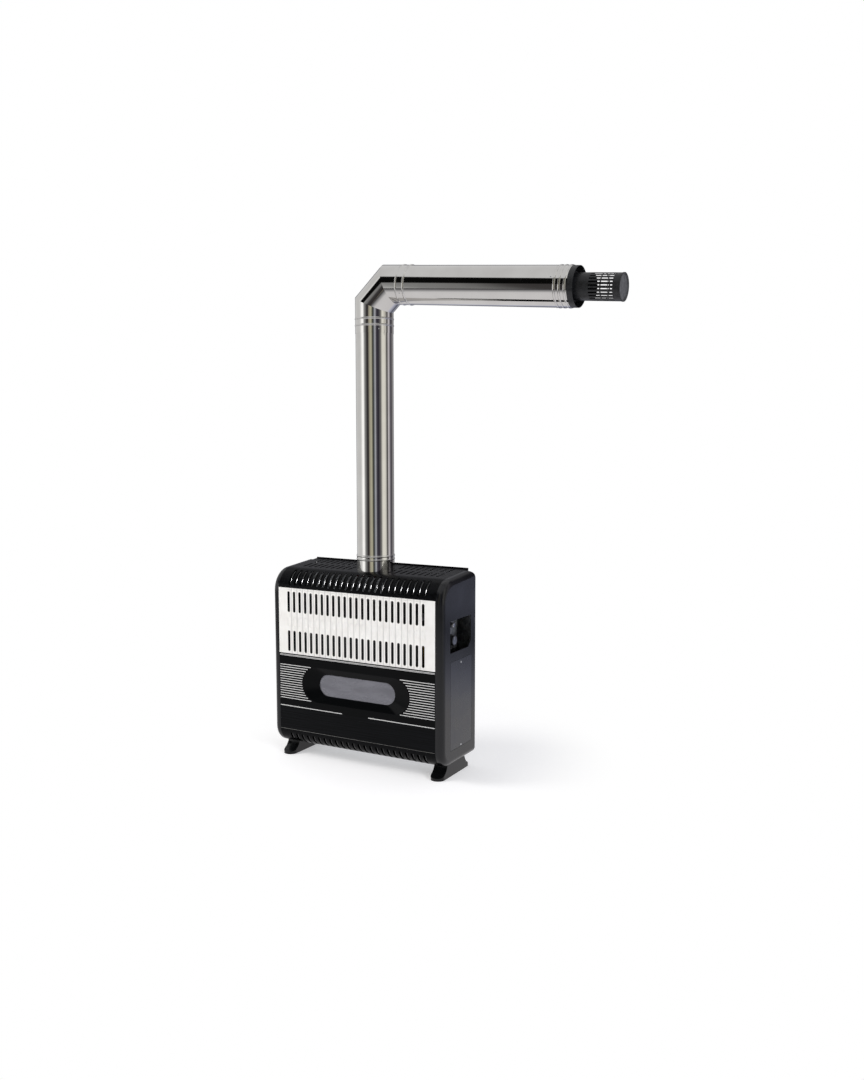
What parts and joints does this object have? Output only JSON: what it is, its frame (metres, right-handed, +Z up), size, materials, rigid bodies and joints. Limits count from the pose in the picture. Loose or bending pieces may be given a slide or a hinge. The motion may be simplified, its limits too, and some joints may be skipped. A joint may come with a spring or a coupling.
{
  "type": "flued gas convector heater",
  "caption": "Room-sealed gas convector heater on feet, with slotted front and top, a dished window, side controls and a concentric flue that turns out through the wall.",
  "frame": {"origin": "on the floor, in the plane of the casing's back, midway between its sides", "axes": "+X to the right of someone facing the front, +Y to the back (wall), +Z up"},
  "size_m": [1.1839, 0.2331, 1.6545],
  "materials": {
    "black_enamel": "gloss",
    "white_enamel": "semi-gloss",
    "galvanised_steel": "satin",
    "zinc_screws": "bright",
    "stainless_flue": "polished",
    "flue_steel": "dull",
    "chamber_steel": "matt heat-resistant",
    "terminal_black": "satin",
    "window_glass": "tinted heat-resistant",
    "seal_fibre": "woven glass fibre",
    "gasket_rubber": "matt",
    "brass": "machined",
    "pipe_aluminium": "drawn",
    "ceramic": "glazed ceramic",
    "knob_plastic": "satin",
    "bright_trim": "polished"
  },
  "bodies": {
    "heater": {"rear_panel": "galvanised_steel", "base_tray": "galvanised_steel", "left_side_cap": "black_enamel", "right_side_cap": "black_enamel", "top_grille": "black_enamel", "upper_front_panel": "white_enamel", "lower_front_panel": "black_enamel", "bottom_grille": "black_enamel", "service_door": "black_enamel", "service_door_screws": "zinc_screws", "casing_screws": "zinc_screws", "left_foot": "black_enamel", "right_foot": "black_enamel", "foot_bolts": "zinc_screws", "foot_nuts": "zinc_screws", "window_glass": "window_glass", "window_seal": "seal_fibre", "window_clamp_frame": "chamber_steel", "window_screws": "zinc_screws", "combustion_chamber": "chamber_steel", "chamber_front_plate": "chamber_steel", "chamber_stand": "galvanised_steel", "exchanger_baffle": "chamber_steel", "heat_exchanger": "chamber_steel", "air_duct": "galvanised_steel", "flue_box": "galvanised_steel", "flue_gasket": "gasket_rubber", "burner_tube": "galvanised_steel", "burner_supports": "chamber_steel", "injector_holder": "brass", "pilot_burner": "brass", "thermocouple": "brass", "spark_electrode": "ceramic", "igniter_lead": "knob_plastic", "control_bracket": "galvanised_steel", "gas_valve_body": "brass", "magnet_unit": "zinc_screws", "piezo_igniter": "knob_plastic", "gas_supply_pipe": "brass", "gas_inlet_union": "brass", "inlet_bracket": "galvanised_steel", "burner_feed_pipe": "pipe_aluminium", "pilot_pipe": "pipe_aluminium", "flue_socket": "stainless_flue", "outer_pipe_vertical": "stainless_flue", "inner_pipe_vertical": "flue_steel", "elbow_lower_gore": "stainless_flue", "elbow_middle_gore": "stainless_flue", "elbow_upper_gore": "stainless_flue", "inner_elbow": "flue_steel", "outer_pipe_horizontal": "stainless_flue", "inner_pipe_horizontal": "flue_steel", "air_intake_ring": "terminal_black", "terminal_tube": "terminal_black", "terminal_deflector": "chamber_steel"},
    "valve_plug": {"valve_plug": "brass"},
    "knob": {"valve_stem": "zinc_screws", "gas_control_knob": "knob_plastic", "knob_cap": "bright_trim"},
    "igniter_button": {"igniter_button": "bright_trim"}
  },
  "joints": [
    {"name": "gas_tap_turn", "type": "hinge", "parent": "heater", "child": "valve_plug", "pos_m": [0.2668, -0.118, 0.445], "axis": [1, 0, 0], "range_deg": [0, 180]},
    {"name": "knob_press", "type": "slide", "parent": "valve_plug", "child": "knob", "axis": [-1, 0, 0], "range_m": [0, 0.004], "stiffness_N_per_m": 1500},
    {"name": "igniter_press", "type": "slide", "parent": "heater", "child": "igniter_button", "axis": [-1, 0, 0], "range_m": [0, 0.0045], "stiffness_N_per_m": 2500}
  ]
}
